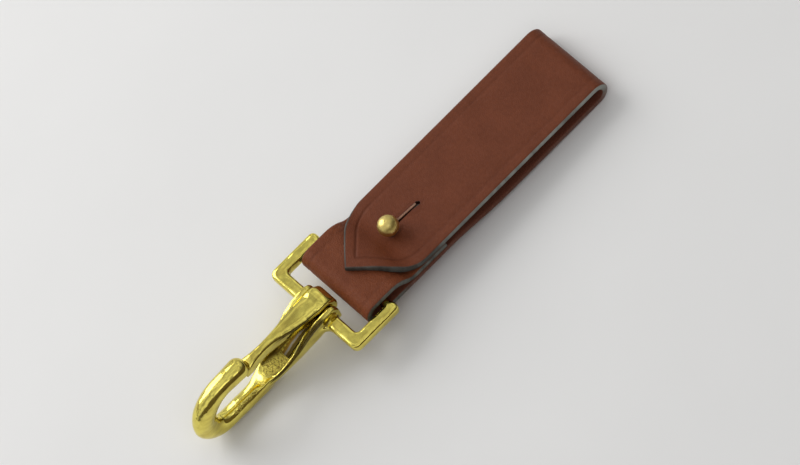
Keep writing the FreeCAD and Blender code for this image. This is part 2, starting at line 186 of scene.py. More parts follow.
# %% Rings and cross cuts
RINGS = [0.07, 0.2, 0.38, 0.6, 1.2, 2.0, 2.6, 3.0, 3.2, 3.4, 3.6, 3.8, 4.0, 4.2, 4.6, 5.2]
RUN_STEP, BEND_STEP = 4, math.radians(6)
LEAST_RUN_STEPS, LEAST_BEND_STEPS = 2, 6


def everything(bm):
    return bm.verts[:] + bm.edges[:] + bm.faces[:]


def slice_flat(bm, place, normal, drop_beyond=False):
    """Cut the flat face along a line, and drop what lies beyond it if that is asked for."""
    bmesh.ops.bisect_plane(bm, geom=everything(bm), dist=1e-4, plane_co=place, plane_no=normal,
                           clear_outer=drop_beyond)


def rings_and_cuts(bm, cross, lengthwise):
    """Inset the flat face ring by ring, then cut it across and lengthwise so that it can bend."""
    inner = max(bm.faces, key=lambda f: f.calc_area())
    done = 0
    for ring in RINGS:
        bmesh.ops.inset_region(bm, faces=[inner], thickness=ring - done, use_even_offset=True,
                               use_boundary=True)
        done = ring
    for s in cross:
        slice_flat(bm, (0, s, 0), (0, 1, 0))
    for x in lengthwise:
        slice_flat(bm, (x, 0, 0), (1, 0, 0))


def trim(bm, s, keep_below):
    slice_flat(bm, (0, s, 0), (0, 1 if keep_below else -1, 0), drop_beyond=True)


def stations(moves, start):
    """Cut lines along the route: close together in the bends, wide apart in the runs."""
    found, at = [], start
    for move in moves:
        size = length_of([move])
        if move[0] == "run":
            steps = max(LEAST_RUN_STEPS, round(size / RUN_STEP))
        else:
            steps = max(LEAST_BEND_STEPS, round(abs(move[2]) / BEND_STEP))
        found += [at + size * i / steps for i in range(1, steps + 1)]
        at += size
    return found


print(len(RINGS), "rings from the edge inwards")

# %% Mesh helpers
SHARP_ANGLE = math.radians(40)


def link(name, bm):
    """Turn a bmesh into an object of the scene."""
    mesh = bpy.data.meshes.new(name)
    bm.to_mesh(mesh)
    bm.free()
    piece = bpy.data.objects.new(name, mesh)
    bpy.context.scene.collection.objects.link(piece)
    return piece


def settle(piece):
    """Replace a piece's mesh by what its modifiers make of it."""
    bpy.context.view_layer.update()
    done = piece.evaluated_get(bpy.context.evaluated_depsgraph_get())
    mesh = bpy.data.meshes.new_from_object(done, preserve_all_data_layers=True,
                                           depsgraph=bpy.context.evaluated_depsgraph_get())
    piece.modifiers.clear()
    piece.data = mesh


def carve(piece, cutter):
    """Cut one mesh out of another, and keep the result as the piece's own mesh."""
    knife = piece.modifiers.new("cut", "BOOLEAN")
    knife.operation = "DIFFERENCE"
    knife.solver = "EXACT"
    knife.object = cutter
    settle(piece)
    piece.data.set_sharp_from_angle(angle=SHARP_ANGLE)
    bpy.data.objects.remove(cutter)


print("mesh helpers ready")

# %% Thickness and fold
EDGE_ROUND = 0.6
CREASE_IN = 3.6
CREASE_DEPTH = 0.2
FIRM_UNTIL, FIRM_FADE, LEAST_FIRM = 34, 18, 0.35
CREASE_WIDE, CREASE_NARROWING = 0.85, 0.45


def edge_drop(d, s):
    """How far the surface falls at d millimetres from the cut edge: the rounded edge and the crease.

    The crease is pressed firmly round the flap's point and softens along the sides."""
    firm = max(LEAST_FIRM, min(1, (FIRM_UNTIL - s) / FIRM_FADE))
    crease_width = CREASE_WIDE - CREASE_NARROWING * firm
    drop = CREASE_DEPTH * firm * math.exp(-((d - CREASE_IN) / crease_width) ** 2)
    if d < EDGE_ROUND:
        drop += EDGE_ROUND - math.sqrt(EDGE_ROUND ** 2 - (EDGE_ROUND - d) ** 2)
    return drop


def thicken_and_fold(bm, outline, name):
    """Give the flat cut its thickness, shape its edges, and lay it along the route."""
    edge = bm.verts.layers.float.new("edge_distance")
    grain = bm.verts.layers.float.new("grain_side")
    flat = bm.verts.layers.float_vector.new("flat_place")
    grown = bmesh.ops.extrude_face_region(bm, geom=everything(bm), use_keep_orig=True)
    upper = [v for v in grown["geom"] if isinstance(v, bmesh.types.BMVert)]
    bmesh.ops.translate(bm, verts=upper, vec=(0, 0, THICK))
    bmesh.ops.recalc_face_normals(bm, faces=bm.faces[:])
    for v in bm.verts:
        x, s, n = v.co
        d = distance_to(outline, x, s)
        top = n > HALF_THICK
        v[edge], v[grain], v[flat] = d, float(top), (x, s, 0)
        if top:
            n -= edge_drop(d, s)
        elif d < EDGE_ROUND:
            n += edge_drop(d, s)
        y, z, heading = walk(s)
        lift = n - HALF_THICK
        v.co = (x * MM, (y - lift * math.sin(heading)) * MM, (z + lift * math.cos(heading)) * MM)
    piece = link(name, bm)
    piece.data.shade_smooth()
    print(name, len(piece.data.vertices), "vertices")
    return piece


print("leather", THICK, "mm thick, creased", CREASE_IN, "mm from its edge")

# %% [markdown]
# ## Flap
# The flap is the strip's front end: straight sides, wide round shoulders and a blunt point. The same piece
# goes on over the belt fold and a little way down the back, as one sheet. It is cut too long at first and
# then trimmed, so that no rounded edge shows where the strap goes on.

# %% Flap
HALF_WIDTH = 15.0
POINT = 13.2
SHOULDER = 7.3
SPARE, NEAR_END = 8, 0.5
LENGTHWISE = [x * 2.5 for x in range(-4, 5)]
cut, outline = flat_cut([(0, 0), (HALF_WIDTH, POINT), (HALF_WIDTH, split + SPARE),
                         (-HALF_WIDTH, split + SPARE), (-HALF_WIDTH, POINT)],
                        round_corners=(1, 4), round_by=SHOULDER)
flap_cuts = [s for s in stations(flap_route + back_route[:1], 0) if s < split - NEAR_END]
rings_and_cuts(cut, flap_cuts, LENGTHWISE)
trim(cut, split, keep_below=True)
flap = thicken_and_fold(cut, outline, "flap_leather")

# %% [markdown]
# ## Buttonhole
# The flap buttons over the ball through a round hole, and a slit lets the hole stretch. The cutter is a post,
# a wedge for the slit and a small post at its end, joined by a fine remesh so that a single cut is enough.
# The slit's left wall leans. The finish paints its lip as raw leather with a painted highlight, above painted
# shade in the depth. Its faces are marked for the finish.

# %% Buttonhole
STUD_Y = 3.6
HOLE_RADIUS, HOLE_Z, HOLE_DEPTH = 2.0, 13, 8
SLIT_LENGTH, SLIT_Z, SLIT_DEPTH = 12, 13.5, 4
SLIT_RIGHT_BALL, SLIT_RIGHT_END = -0.25, 0.07
SLIT_WIDE, SLIT_NARROW, LIP_LEAN = 0.75, 0.4, 1.0
SLIT_END_RADIUS, SLIT_END_X = 0.55, -0.2
CUTTER_VOXEL = 0.12


def cutting_post(bm, x, y, radius, segments):
    """An upright cylinder that goes through the flap."""
    bmesh.ops.create_cone(bm, segments=segments, radius1=radius, radius2=radius, depth=HOLE_DEPTH,
                          cap_ends=True, matrix=Matrix.Translation((x, y, HOLE_Z)))


bm = bmesh.new()
cutting_post(bm, 0, STUD_Y, HOLE_RADIUS, segments=40)
slit_middle = STUD_Y + SLIT_LENGTH / 2
slit_place = Matrix.Translation((0, slit_middle, SLIT_Z)) @ Matrix.Diagonal((1, SLIT_LENGTH, SLIT_DEPTH, 1))
slit = bmesh.ops.create_cube(bm, size=1, matrix=slit_place)
for v in slit["verts"]:
    near_ball, left, high = v.co.y < slit_middle, v.co.x < 0, v.co.z > SLIT_Z
    right_side = SLIT_RIGHT_BALL if near_ball else SLIT_RIGHT_END
    v.co.x = right_side - (SLIT_WIDE if near_ball else SLIT_NARROW) * left
    v.co.x -= LIP_LEAN * left * high
cutting_post(bm, SLIT_END_X, STUD_Y + SLIT_LENGTH, SLIT_END_RADIUS, segments=24)
bmesh.ops.scale(bm, vec=(MM, MM, MM), verts=bm.verts[:])
keyhole = link("keyhole", bm)
keyhole_shape = keyhole.modifiers.new("join", "REMESH")
keyhole_shape.mode = "VOXEL"
keyhole_shape.voxel_size = CUTTER_VOXEL * MM
settle(keyhole)
carve(flap, keyhole)
print("flap with its buttonhole:", len(flap.data.polygons), "faces")

# %% Slit walls
WALL_REACH, WALL_END, LIP_END = 2.2, 13, 11.3
LIP_LOW, LIP_SOFT = 13.2, 0.4
STEEP = 0.7
MARKS = ("slit_wall", "slit_lip")
for mark in MARKS:
    flap.data.attributes.new(mark, "FLOAT", "FACE")
slit_wall, slit_lip = (flap.data.attributes[mark].data for mark in MARKS)
for face in flap.data.polygons:
    x, y, z = face.center / MM
    beside_slit = abs(x) < WALL_REACH and STUD_Y - WALL_REACH < y < STUD_Y + WALL_END
    if beside_slit and abs(face.normal.z) < STEEP:
        slit_wall[face.index].value = 1
        # The lip mask rises towards the top of the walls: painted highlight there, painted shade below.
        if y < STUD_Y + LIP_END:
            slit_lip[face.index].value = max(0, min(1, (z - LIP_LOW) / LIP_SOFT))
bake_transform(flap)
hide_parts("flap", "belt_fold")
print("slit walls:", sum(face.value > 0 for face in slit_wall), "faces")

# %% [markdown]
# ## Strap
# The rest of the strip is the back layer, the fold round the bar and the return layer under the flap. It has
# the stepped hole that the stud and its screw sit in. The hole is round and stepped, so its cutter is spun
# from a profile, with the helper that makes the stud further on.

# %% Strap
cut, outline = flat_cut([(HALF_WIDTH, split - SPARE), (HALF_WIDTH, strip_length),
                         (-HALF_WIDTH, strip_length), (-HALF_WIDTH, split - SPARE)])
strap_cuts = [s for s in stations(back_route + wrap_route, fold_end)
              if split + NEAR_END < s < strip_length - NEAR_END]
rings_and_cuts(cut, strap_cuts, LENGTHWISE)
trim(cut, split, keep_below=False)
strap = thicken_and_fold(cut, outline, "strap_leather")

# %% Stud hole
STUD_HOLE = [(0, 5), (4.05, 5), (4.05, 8.6), (2.35, 8.6), (2.35, 10.9), (4.05, 10.9), (4.05, 12.4), (0, 12.4)]


def turned(name, profile, steps):
    """Spin a profile of (radius, height) in millimetres round the stud's axis into a closed, turned shape."""
    bm = bmesh.new()
    line = [bm.verts.new((r * MM, STUD_Y * MM, z * MM)) for r, z in profile]
    edges = [bm.edges.new(pair) for pair in zip(line, line[1:])]
    bmesh.ops.spin(bm, geom=line + edges, cent=(0, STUD_Y * MM, 0), axis=(0, 0, 1), dvec=(0, 0, 0),
                   angle=math.tau, steps=steps, use_merge=True)
    bmesh.ops.remove_doubles(bm, verts=bm.verts[:], dist=1e-7)
    bmesh.ops.recalc_face_normals(bm, faces=bm.faces[:])
    return link(name, bm)


carve(strap, turned("stud_hole", STUD_HOLE, steps=48))
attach(strap, "strap")
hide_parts("strap_body")
print("strap with its hole:", len(strap.data.polygons), "faces")

# %% [markdown]
# ## Ball stud and screw
# Both are turned on a lathe, so a spun profile is the natural way to make them. The ball keeps a small flat
# where the bar was parted off. The screw comes in from behind and has a slot for a driver.

# %% Ball stud
BALL, BALL_Z, NECK = 3.4, 17.9, 1.7
PARTED_ANGLE, ARC_STEPS = 0.12, 30
POST_AND_FLANGE = [(0, 8.6), (1.45, 8.6), (1.45, 9.2), (2.25, 9.25), (2.25, 10.9), (3.75, 10.9), (4.0, 11.1),
                   (4.0, 11.75), (3.85, 11.88), (2.1, 11.9), (1.85, 12.1), (NECK, 12.5)]
PARTED_TOP = [(0.3, 21.26), (0, 21.26)]
neck_angle = math.asin(NECK / BALL)
arc_angle = math.pi - neck_angle - PARTED_ANGLE
angles = [neck_angle + arc_angle * i / ARC_STEPS for i in range(ARC_STEPS + 1)]
ball_arc = [(BALL * math.sin(a), BALL_Z - BALL * math.cos(a)) for a in angles]
stud = turned("ball_stud", POST_AND_FLANGE + ball_arc + PARTED_TOP, steps=64)
stud.data.shade_smooth()
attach(stud, "strap")
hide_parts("stud")
print("stud:", len(stud.data.polygons), "faces")

# %% Screw
SCREW_PROFILE = [(0, 12.5), (1.2, 12.5), (1.4, 12.3), (1.4, 8.62), (3.7, 8.6), (3.95, 8.4), (4.0, 7.9),
                 (3.75, 7.5), (3.4, 7.42), (0, 7.4)]
SLOT_WIDE, SLOT_LONG, SLOT_HIGH, SLOT_Z = 0.9, 10, 1.2, 7.4
screw = turned("stud_screw_head", SCREW_PROFILE, steps=48)
bm = bmesh.new()
slot_size = Matrix.Diagonal((SLOT_WIDE * MM, SLOT_LONG * MM, SLOT_HIGH * MM, 1))
bmesh.ops.create_cube(bm, size=1, matrix=Matrix.Translation((0, STUD_Y * MM, SLOT_Z * MM)) @ slot_size)
carve(screw, link("driver_slot", bm))
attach(screw, "strap")
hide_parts("stud_screw")
print("screw:", len(screw.data.polygons), "faces")

# %% [markdown]
# ## Snap hook
# The snap is a polished casting with no sharp edge anywhere. The CAD solid has the right form with hard
# edges, so a merged copy of it is remeshed finely and smoothed, which rounds every edge the way tumbling and
# buffing do. The solid's arm is a little slim towards its thumb-like tip, so the copy is broadened there.

# %% Hollows
HOLLOW_SPREAD = 8


def note_hollows(bm, edge_length):
    """Keep how hollow the surface is at each vertex: there polish doesn't reach and residue stays, and shade is
    painted.
    """
    layer = bm.verts.layers.float.new("hollow")
    around = [[edge.other_vert(v) for edge in v.link_edges] for v in bm.verts]
    for v, ring in zip(bm.verts, around):
        middle = sum((other.co for other in ring), Vector()) / len(ring)
        v[layer] = (middle - v.co).dot(v.normal) / edge_length
    for _ in range(HOLLOW_SPREAD):
        spread = [(v[layer] + sum(other[layer] for other in ring)) / (1 + len(ring))
                  for v, ring in zip(bm.verts, around)]
        for v, value in zip(bm.verts, spread):
            v[layer] = value


print("hollows are spread over", HOLLOW_SPREAD, "edges")

# %% Broader arm
THUMB_FROM, THUMB_LOW, THUMB_HIGH, THUMB_SPREAD = -54.0, 10.0, 18.0, 0.14


def spread_thumb(bm):
    """Broaden the hook's arm with a soft step, up to its thumb-like tip."""
    for v in bm.verts:
        share = max(0, min(1, (v.co.z / MM - THUMB_LOW) / (THUMB_HIGH - THUMB_LOW)))
        if v.co.y / MM < THUMB_FROM:
            v.co.x *= 1 + THUMB_SPREAD * share ** 2 * (3 - 2 * share)


print("arm broadened by up to", round(THUMB_SPREAD * 100), "percent")

# %% Casting and gate
MERGE_DISTANCE = 2e-6
SMOOTH_FACTOR = 0.5
CASTING_SOFTER = [(-64, -52, 2.5, 9, 40), (-77, -66, 3, 13, 40)]
GATE_SOFTER = [(-34, -24, 14, 21, 40)]


def tumbled(name, node, voxel, passes, softer, reshape=None):
    """A remeshed and smoothed copy of a solid, with edges as soft as on a polished casting.

    Softer lists boxes of (y, y, z, z) in millimetres that get more passes, whose number comes last."""
    bm = bmesh.new()
    bm.from_mesh(nodes[node].data)
    bmesh.ops.remove_doubles(bm, verts=bm.verts[:], dist=MERGE_DISTANCE)
    piece = link(name, bm)
    grid = piece.modifiers.new("grid", "REMESH")
    grid.mode = "VOXEL"
    grid.voxel_size = voxel * MM
    soft = piece.modifiers.new("soft", "SMOOTH")
    soft.factor = SMOOTH_FACTOR
    soft.iterations = passes
    settle(piece)
    bm = bmesh.new()
    bm.from_mesh(piece.data)
    for y_low, y_high, z_low, z_high, more in softer:
        chosen = [v for v in bm.verts if y_low < v.co.y / MM < y_high and z_low < v.co.z / MM < z_high]
        for _ in range(more):
            bmesh.ops.smooth_vert(bm, verts=chosen, factor=SMOOTH_FACTOR, use_axis_x=True, use_axis_y=True,
                                  use_axis_z=True)
    if reshape:
        reshape(bm)
    bm.normal_update()
    note_hollows(bm, voxel * MM)
    bm.to_mesh(piece.data)
    bm.free()
    piece.data.shade_smooth()
    print(name, len(piece.data.polygons), "faces")
    return piece


casting = tumbled("snap_casting", "hook_body", voxel=0.27, passes=14, softer=CASTING_SOFTER,
                  reshape=spread_thumb)
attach(casting, "hook")
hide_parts("hook_body")
gate = tumbled("gate_lever_cast", "gate_lever", voxel=0.2, passes=18, softer=GATE_SOFTER)
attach(gate, "gate")
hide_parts("gate_lever")

# %% [markdown]
# ## Building blocks for the finishes
# Every finish is a small network of shader nodes. These helpers add a node and wire it in one line, so that
# the finishes below read as lists of what the surface does. A mask is a value of 0 to 1 that says where
# something shows. All patterns are worked out in millimetres.

# %% Node helpers
def add(tree, kind, wires=None, **settings):
    """Add a node, set its options, and wire or fill its inputs."""
    node = tree.nodes.new(kind)
    for option, value in settings.items():
        setattr(node, option, value)
    for socket, source in (wires or {}).items():
        if isinstance(source, bpy.types.NodeSocket):
            tree.links.new(source, node.inputs[socket])
        else:
            node.inputs[socket].default_value = source
    return node


def group(name, inputs, outputs):
    """An empty node group with named sockets, and its two end nodes."""
    tree = bpy.data.node_groups.new(name, "ShaderNodeTree")
    for label, kind in inputs:
        tree.interface.new_socket(label, in_out="INPUT", socket_type=kind)
    for label, kind in outputs:
        tree.interface.new_socket(label, in_out="OUTPUT", socket_type=kind)
    return tree, add(tree, "NodeGroupInput"), add(tree, "NodeGroupOutput")


def material(name):
    """A new material: its node tree and its shader."""
    made = bpy.data.materials.new(name)
    made.use_nodes = True
    return made, made.node_tree, made.node_tree.nodes["Principled BSDF"]


def kept(tree, name, output="Fac"):
    """What the mesh keeps under that name."""
    return add(tree, "ShaderNodeAttribute", attribute_name=name).outputs[output]


def split_axes(tree, vector):
    return add(tree, "ShaderNodeSeparateXYZ", {"Vector": vector}).outputs


def stretch(tree, place, scale):
    return add(tree, "ShaderNodeMapping", {"Vector": place, "Scale": scale}).outputs["Vector"]


def object_mm(tree):
    """Object coordinates in millimetres."""
    place = add(tree, "ShaderNodeTexCoord").outputs["Object"]
    return stretch(tree, place, (1 / MM, 1 / MM, 1 / MM))


def relief_from(tree, shader, height, strength, distance):
    """Bump the surface by a height."""
    bump = add(tree, "ShaderNodeBump", {"Strength": strength, "Distance": distance, "Height": height})
    tree.links.new(bump.outputs["Normal"], shader.inputs["Normal"])


print("node helpers ready")

# %% Sums and masks
def calc(tree, operation, first, second=0.0):
    return add(tree, "ShaderNodeMath", {0: first, 1: second}, operation=operation).outputs[0]


def times(tree, first, *others):
    """The product of values: of masks, it is 1 only where all of them are."""
    for other in others:
        first = calc(tree, "MULTIPLY", first, other)
    return first


def flip(tree, mask):
    return calc(tree, "SUBTRACT", 1.0, mask)


def fade(tree, value, low, high):
    """A soft step from 0 at low to 1 at high."""
    return add(tree, "ShaderNodeMapRange", {"Value": value, "From Min": low, "From Max": high},
               interpolation_type="SMOOTHSTEP").outputs["Result"]


def inside(tree, value, low, high, soft):
    """1 between low and high, fading to 0 over a soft margin outside."""
    return times(tree, fade(tree, value, low - soft, low), flip(tree, fade(tree, value, high, high + soft)))


def rescale(tree, value, low, high):
    """Spread a value of 0 to 1 over another range."""
    return add(tree, "ShaderNodeMapRange", {"Value": value, "To Min": low, "To Max": high}).outputs["Result"]


def tint(tree, share, first, second):
    """Mix two colours."""
    return add(tree, "ShaderNodeMix", {0: share, 6: first, 7: second}, data_type="RGBA").outputs[2]


def noise(tree, place, scale, detail=2.0, roughness=0.5):
    return add(tree, "ShaderNodeTexNoise", {"Vector": place, "Scale": scale, "Detail": detail,
                                            "Roughness": roughness}).outputs["Fac"]


print("mask helpers ready")

# %% [markdown]
# ## Leather
# Bridle leather is dyed through and waxed. Its grain side is smooth, with tiny pores and slow changes of
# tone, its flesh side is fuzzy, and its cut edges are sealed with a grey-black dressing. The grain is one
# node group for both layers. The finish reads the flat position of each point, so that the grain runs round
# the folds with the strip.

# %% Hide grain
hide, hide_in, hide_out = group("hide_grain", [("Place", "NodeSocketVector")],
                                [("Height", "NodeSocketFloat"), ("Mottle", "NodeSocketFloat"),
                                 ("Fuzz", "NodeSocketFloat")])
place = hide_in.outputs["Place"]
cells = add(hide, "ShaderNodeTexVoronoi", {"Vector": place, "Scale": 1.7, "Randomness": 1.0},
            feature="DISTANCE_TO_EDGE").outputs["Distance"]
pebbles = fade(hide, cells, 0.0, 0.22)
pores = fade(hide, noise(hide, place, 5.0, 3.0), 0.34, 0.5)
waves = noise(hide, place, 0.16, 2.0)
height = calc(hide, "ADD", times(hide, pebbles, 0.6), times(hide, pores, 0.35))
height = calc(hide, "ADD", height, times(hide, waves, 2.2))
slow = noise(hide, place, 0.07, 3.0, 0.6)
quick = noise(hide, place, 0.9, 4.0, 0.65)
mottle = calc(hide, "ADD", times(hide, slow, 0.5), times(hide, quick, 0.5))
fibres = noise(hide, place, 3.2, 6.0, 0.75)
hide.links.new(height, hide_out.inputs["Height"])
hide.links.new(fade(hide, mottle, 0.34, 0.66), hide_out.inputs["Mottle"])
hide.links.new(fibres, hide_out.inputs["Fuzz"])
print("hide grain:", len(hide.nodes), "nodes")

# %% Leather: where things lie on the strip
POINT_FADE = (12, 26)
BACK_LENGTH, BACK_SOFT = 78, 8
RETURN_FADE = 60
EDGE_BAND, EDGE_RAGGED, EDGE_AT_POINT = (0.1, 0.34), 0.25, 0.42
CREASE_BAND, CREASE_SHIFT = (0.1, 0.7), 0.15
CREASE_ALONG, CREASE_AT_POINT = 0.16, 0.4

leather, tree, shader = material("leather_finish")
place = kept(tree, "flat_place", "Vector")
inward = kept(tree, "edge_distance")
along = split_axes(tree, place)["Y"]
hide_node = add(tree, "ShaderNodeGroup", {"Place": place}, node_tree=hide)
mottle, fuzz = hide_node.outputs["Mottle"], hide_node.outputs["Fuzz"]
at_point = flip(tree, fade(tree, along, *POINT_FADE))
behind = inside(tree, along, fold_end, fold_end + BACK_LENGTH, BACK_SOFT)
beyond = fade(tree, along, split, split + RETURN_FADE)
flesh_side = flip(tree, fade(tree, kept(tree, "grain_side"), 0.3, 0.7))
ragged = calc(tree, "ADD", inward, times(tree, calc(tree, "SUBTRACT", fuzz, 0.5), EDGE_RAGGED))
ragged = times(tree, ragged, rescale(tree, at_point, 1.0, EDGE_AT_POINT))
edge = flip(tree, fade(tree, ragged, *EDGE_BAND))
off_crease = calc(tree, "ABSOLUTE", calc(tree, "SUBTRACT", inward, CREASE_IN - CREASE_SHIFT))
crease = times(tree, flip(tree, fade(tree, off_crease, *CREASE_BAND)),
               rescale(tree, at_point, CREASE_ALONG, CREASE_AT_POINT))
print("leather masks:", len(tree.nodes), "nodes")

# %% Leather: colour
FLAP_DARK, FLAP_LIGHT = (0.129, 0.0312, 0.0102, 1), (0.165, 0.0415, 0.0148, 1)
WRAP_DARK, WRAP_LIGHT = (0.148, 0.036, 0.0112, 1), (0.196, 0.0515, 0.017, 1)
FLESH_DARK, FLESH_LIGHT = (0.116, 0.033, 0.018, 1), (0.21, 0.066, 0.036, 1)
CREASE_DARK = (0.075, 0.0168, 0.0056, 1)
EDGE_DARK, EDGE_GREY = (0.07, 0.066, 0.055, 1), (0.17, 0.168, 0.145, 1)
EDGE_PALE, EDGE_POINT_SHADE = (0.34, 0.345, 0.31, 1), (0.03, 0.024, 0.02, 1)
SLIT_PAINTED_SHADE, SLIT_RAW_AND_HIGHLIGHT = (0.03, 0.01, 0.006, 1), (0.9, 0.6, 0.45, 1)
PALE_FROM, PALE_SOFT = 60, 50

grain_dark = tint(tree, beyond, FLAP_DARK, WRAP_DARK)
grain_light = tint(tree, beyond, FLAP_LIGHT, WRAP_LIGHT)
grain_colour = tint(tree, crease, tint(tree, mottle, grain_dark, grain_light), CREASE_DARK)
flesh_colour = tint(tree, fade(tree, fuzz, 0.36, 0.64), FLESH_DARK, FLESH_LIGHT)
worn = fade(tree, noise(tree, place, 0.16, 3.0, 0.6), 0.36, 0.64)
# Towards the belt fold the cut edges turn paler.
paler_to_fold = times(tree, inside(tree, along, PALE_FROM, fold_end, PALE_SOFT), rescale(tree, worn, 0.4, 1.0))
edge_colour = tint(tree, paler_to_fold, tint(tree, worn, EDGE_DARK, EDGE_GREY), EDGE_PALE)
# Painted shade: the cut edges round the point are darkened, as edges that face away from the light.
edge_colour = tint(tree, times(tree, at_point, 0.6), edge_colour, EDGE_POINT_SHADE)
edge_colour = tint(tree, times(tree, behind, 0.85), edge_colour, flesh_colour)
colour = tint(tree, edge, tint(tree, flesh_side, grain_colour, flesh_colour), edge_colour)
# Slit walls: painted shade in the depth, and raw leather with a painted highlight at the lip.
slit_shade_and_highlight = tint(tree, kept(tree, "slit_lip"), SLIT_PAINTED_SHADE, SLIT_RAW_AND_HIGHLIGHT)
colour = tint(tree, kept(tree, "slit_wall"), colour, slit_shade_and_highlight)
tree.links.new(colour, shader.inputs["Base Color"])
print("leather colour:", len(tree.nodes), "nodes")

# %% Leather: sheen and relief
# Pores and pebbles lie on the grain side, deeper on the return layer, and fibres on the flesh side and edges.
rough = calc(tree, "ADD", rescale(tree, mottle, 0.52, 0.44), times(tree, flesh_side, 0.38))
tree.links.new(rough, shader.inputs["Roughness"])
grain_depth = times(tree, rescale(tree, beyond, 1.0, 2.1), flip(tree, flesh_side))
fibre_depth = calc(tree, "ADD", times(tree, flesh_side, 5.0), times(tree, edge, 1.2))
relief = calc(tree, "ADD", times(tree, hide_node.outputs["Height"], grain_depth),
              times(tree, fuzz, fibre_depth))
relief_from(tree, shader, relief, strength=0.8, distance=0.00007)
shader.inputs["Specular IOR Level"].default_value = 0.18
flap.data.materials.append(leather)
strap.data.materials.append(leather)
print("leather:", len(tree.nodes), "nodes")

# %% [markdown]
# ## Cast brass
# The snap is cast brass, tumbled and polished: the surface still rolls a little, as castings do, and the
# floor of the channel and the parting line on the spine keep the rough skin of the mould. In the photograph
# the brass has dark lines beside bright ridges, from dark surroundings that it mirrors. The pale table here
# can't give them, so two of them are painted reflections: dark bands painted into the colour.

# %% Cast skin
skin, skin_in, skin_out = group("metal_skin", [("Place", "NodeSocketVector")],
                                [("Roll", "NodeSocketFloat"), ("Pits", "NodeSocketFloat"),
                                 ("Haze", "NodeSocketFloat")])
place = skin_in.outputs["Place"]
roll = calc(skin, "ADD", noise(skin, place, 0.18, 1.0), times(skin, noise(skin, place, 0.8, 1.0), 0.05))
pits = flip(skin, fade(skin, noise(skin, place, 1.9, 3.0, 0.6), 0.36, 0.58))
haze = fade(skin, noise(skin, place, 0.45, 5.0, 0.65), 0.3, 0.72)
skin.links.new(roll, skin_out.inputs["Roll"])
skin.links.new(pits, skin_out.inputs["Pits"])
skin.links.new(haze, skin_out.inputs["Haze"])
print("metal skin:", len(skin.nodes), "nodes")

# %% Cast brass: rough skin
FLOOR_HALF_WIDTH, FLOOR_HALF_LENGTH, FLOOR_MIDDLE = 4.4, 11.5, -42.5
FLOOR_HEIGHTS = (4.6, 8.8)
PARTING_X, PARTING_Y, PARTING_Z = (2.4, 2.75), (-66.0, -57.0), (4.0, 6.6)
PARTING_WANDER = 1.6

cast_brass, tree, shader = material("cast_brass_finish")
place = object_mm(tree)
axes = split_axes(tree, place)
skin_node = add(tree, "ShaderNodeGroup", {"Place": place}, node_tree=skin)
pits, haze = skin_node.outputs["Pits"], skin_node.outputs["Haze"]
floor_x = calc(tree, "POWER", calc(tree, "DIVIDE", axes["X"], FLOOR_HALF_WIDTH), 2.0)
floor_y = calc(tree, "DIVIDE", calc(tree, "SUBTRACT", axes["Y"], FLOOR_MIDDLE), FLOOR_HALF_LENGTH)
off_middle = calc(tree, "ADD", floor_x, calc(tree, "POWER", floor_y, 2.0))
facing = split_axes(tree, add(tree, "ShaderNodeTexCoord").outputs["Normal"])
channel_floor = times(tree, flip(tree, fade(tree, off_middle, 0.75, 1.05)),
                      inside(tree, axes["Z"], *FLOOR_HEIGHTS, 0.5), fade(tree, facing["Z"], 0.0, 0.3))
wander = calc(tree, "ADD", axes["X"], times(tree, noise(tree, place, 0.3, 2.0), PARTING_WANDER))
parting = times(tree, inside(tree, wander, *PARTING_X, 0.4), inside(tree, axes["Y"], *PARTING_Y, 3.0),
                inside(tree, axes["Z"], *PARTING_Z, 0.7), fade(tree, noise(tree, place, 0.55, 2.0), 0.4, 0.55))
raw = calc(tree, "MAXIMUM", channel_floor, parting)
raw_pits = times(tree, raw, pits)
print("rough skin:", len(tree.nodes), "nodes")

# %% Cast brass: painted dark reflections
# Painted dark reflections: one on the outer shoulder of the right cheek's S-shaped rim, one on the upper half
# of the lever's sides.
RIM_SPAN, RIM_HEIGHTS = (-53.0, -30.0), (7.1, 16.6)
RIM_BAND, RIM_LENGTH, RIM_OUTER = (-1.5, 1.0), (-54.0, -31.5), (7.5, 7.8)
CHEEK_SPREAD = 0.08
LEVER_TOP, LEVER_SLOPE = 14.55, 0.124
LEVER_BAND, LEVER_LENGTH = (0.8, 1.4), (-43.0, -35.0)

rim_height = rescale(tree, fade(tree, axes["Y"], *RIM_SPAN), *RIM_HEIGHTS)
below_rim = calc(tree, "SUBTRACT", rim_height, axes["Z"])
outward = calc(tree, "SUBTRACT", axes["X"], times(tree, axes["Y"], CHEEK_SPREAD))
cheek_painted_reflection = times(tree, inside(tree, below_rim, *RIM_BAND, 0.5), fade(tree, outward, *RIM_OUTER),
                   inside(tree, axes["Y"], *RIM_LENGTH, 2.5))
lever_top = calc(tree, "SUBTRACT", LEVER_TOP, times(tree, axes["Y"], LEVER_SLOPE))
below_top = calc(tree, "SUBTRACT", lever_top, axes["Z"])
lever_painted_reflection = times(tree, inside(tree, below_top, *LEVER_BAND, 0.4), inside(tree, axes["Y"], *LEVER_LENGTH, 5.0))
painted_dark_reflections = calc(tree, "MAXIMUM", cheek_painted_reflection, lever_painted_reflection)
print("dark bands:", len(tree.nodes), "nodes")

# %% Cast brass: colour and relief
BRASS, BRASS_DULL = (0.86, 0.745, 0.165, 1), (0.70, 0.585, 0.115, 1)
BRASS_BROWN, BRASS_DARK = (0.47, 0.35, 0.07, 1), (0.17, 0.105, 0.025, 1)
PAINTED_REFLECTION_BLACK = (0.075, 0.05, 0.012, 1)
PATINA_STRETCH = (1, 0.22, 1)

